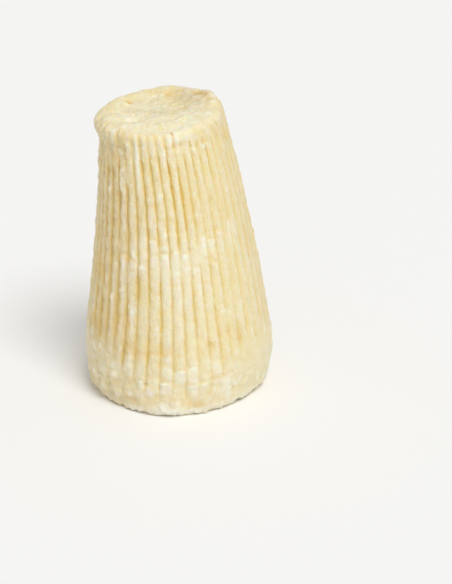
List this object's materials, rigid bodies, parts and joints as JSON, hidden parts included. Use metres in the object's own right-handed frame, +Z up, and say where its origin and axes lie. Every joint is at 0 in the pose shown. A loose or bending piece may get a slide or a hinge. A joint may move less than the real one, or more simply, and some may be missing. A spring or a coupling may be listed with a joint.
{
  "type": "tall moulded ricotta",
  "caption": "Tall fresh ricotta turned out of a ribbed basket mould: a leaning truncated cone with close upright ribs, a smooth belly and a soft lip round a shallow dish.",
  "frame": {"origin": "middle of the flat foot that the cheese rests on", "axes": "+Z up, -Y towards the front, +X towards the cheese's right-hand side as seen from the front"},
  "size_m": [0.1361, 0.1352, 0.2155],
  "materials": {
    "curd": "moist satin cream-coloured curd, darker and more yellow in the grooves between the ribs"
  },
  "bodies": {
    "root": {"ricotta": "curd"}
  },
  "joints": []
}
